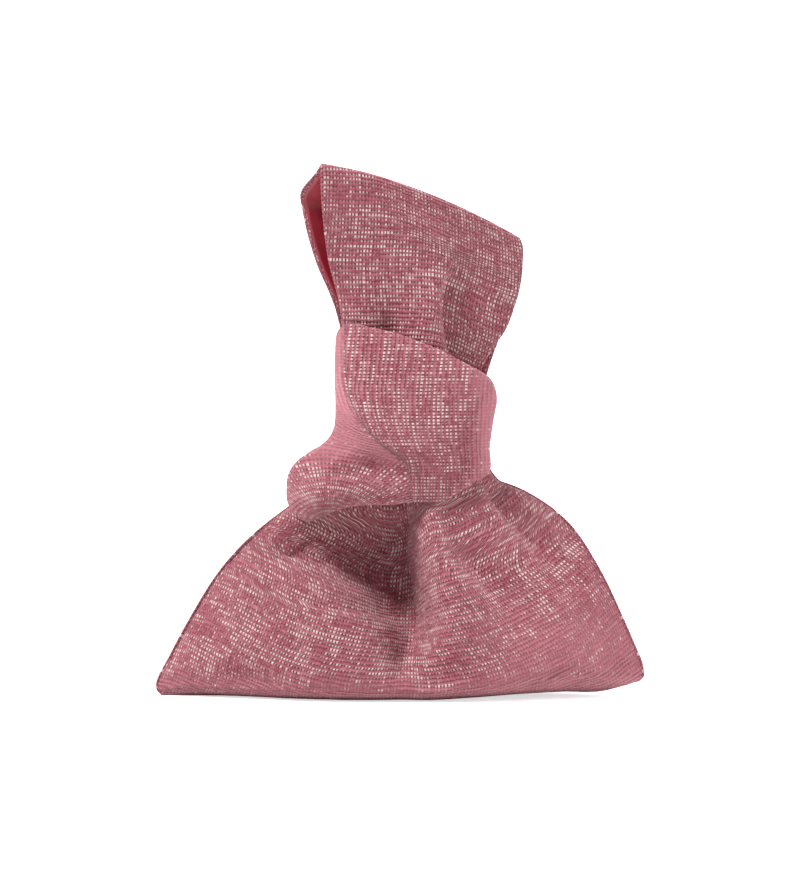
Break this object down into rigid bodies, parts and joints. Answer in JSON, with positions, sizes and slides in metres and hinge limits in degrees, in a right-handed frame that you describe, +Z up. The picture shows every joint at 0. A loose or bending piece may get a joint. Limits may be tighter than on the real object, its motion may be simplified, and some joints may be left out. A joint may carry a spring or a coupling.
{
  "type": "knotted fabric gift bag",
  "caption": "Small woven fabric bag: a full pouch gathered at its neck and knotted shut by a short loop wrapped round it, with a long loop as a wrist handle.",
  "frame": {"origin": "middle of the base, where the pouch stands on the floor", "axes": "+X to the right seen from the front, +Y to the back, +Z up"},
  "size_m": [0.23, 0.076, 0.25],
  "materials": {
    "rose_cloth": "matt slub weave of rose weft rows over a cream warp",
    "satin_lining": "smooth crimson satin with a soft sheen"
  },
  "bodies": {
    "root": {"pouch": "rose_cloth", "knot_band": "rose_cloth", "handle_loop": "rose_cloth", "handle_lining": "satin_lining"}
  },
  "joints": []
}
